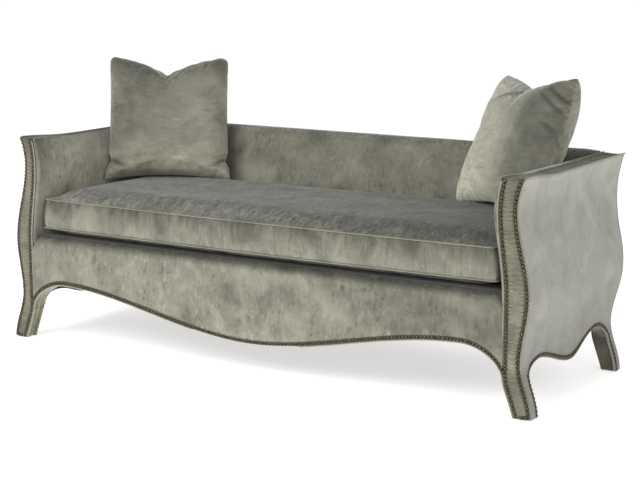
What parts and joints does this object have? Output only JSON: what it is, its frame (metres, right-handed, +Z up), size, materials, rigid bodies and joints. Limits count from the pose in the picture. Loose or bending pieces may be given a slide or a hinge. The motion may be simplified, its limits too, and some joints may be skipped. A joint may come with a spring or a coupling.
{
  "type": "recamier",
  "caption": "Fabric-covered bench sofa with level S-curved arms, a low back, splayed legs, a wavy nail-edged apron, a long seat cushion and loose pillows.",
  "frame": {"origin": "centre of the whole part's box at floor level", "axes": "+X along the length to the viewer's right, +Y to the back, +Z up"},
  "size_m": [2.132, 0.8788, 1.0374],
  "materials": {
    "cover": "crushed velvet, grey-green",
    "side_cover": "crushed velvet, paler where it faces the light",
    "welt": "velvet-covered cord",
    "seat": "crushed velvet, grey",
    "pillow": "velvet",
    "nails": "dark antique bronze",
    "frame": "plain hardwood",
    "padding": "wadding",
    "webbing": "jute",
    "dust_cover": "black cloth",
    "glide": "plain"
  },
  "bodies": {
    "frame": {"front_post_right": "frame", "front_post_left": "frame", "rear_post_right": "frame", "rear_post_left": "frame", "front_seat_rail": "frame", "rear_seat_rail": "frame", "side_seat_rail_right": "frame", "side_seat_rail_left": "frame", "corner_block_front_right": "frame", "corner_block_front_left": "frame", "corner_block_rear_right": "frame", "corner_block_rear_left": "frame", "arm_top_rail_right": "frame", "arm_top_rail_left": "frame", "back_upright_right": "frame", "back_upright_left": "frame", "centre_stretcher": "frame", "back_top_rail": "frame", "seat_webbing": "webbing", "deck_pad": "padding", "edge_roll": "padding", "dust_cover": "dust_cover", "front_apron": "cover", "apron_welt": "welt", "stile_cover_right": "cover", "stile_cover_left": "cover", "side_panel_right": "side_cover", "side_panel_left": "side_cover", "front_leg_cover_right": "cover", "front_leg_cover_left": "cover", "rear_leg_cover_right": "cover", "rear_leg_cover_left": "cover", "inside_arm_right": "cover", "inside_arm_left": "cover", "arm_cap_right": "cover", "arm_cap_left": "cover", "stile_welt_right": "welt", "stile_welt_left": "welt", "arm_welt_outer_right": "welt", "arm_welt_outer_left": "welt", "arm_welt_inner_right": "welt", "arm_welt_inner_left": "welt", "inside_back": "cover", "outside_back": "cover", "glide_front_right": "glide", "glide_front_left": "glide", "glide_rear_right": "glide", "glide_rear_left": "glide", "stile_nails_outer_right": "nails", "stile_nails_outer_left": "nails", "stile_nails_inner_right": "nails", "stile_nails_inner_left": "nails", "apron_nails": "nails", "side_nails_right": "nails", "side_nails_left": "nails"},
    "cushion": {"seat_cushion": "seat", "cushion_welt_low": "welt", "cushion_welt_high": "welt"},
    "pillow_left": {"pillow_left": "pillow"},
    "pillow_right": {"pillow_right": "pillow"}
  },
  "joints": [
    {"name": "cushion_lift", "type": "slide", "parent": "frame", "child": "cushion", "axis": [0, 0, 1], "range_m": [0, 0.5]},
    {"name": "pillow_left_lift", "type": "slide", "parent": "cushion", "child": "pillow_left", "axis": [0, 0, 1], "range_m": [0, 0.4]},
    {"name": "pillow_right_lift", "type": "slide", "parent": "cushion", "child": "pillow_right", "axis": [0, 0, 1], "range_m": [0, 0.4]}
  ]
}
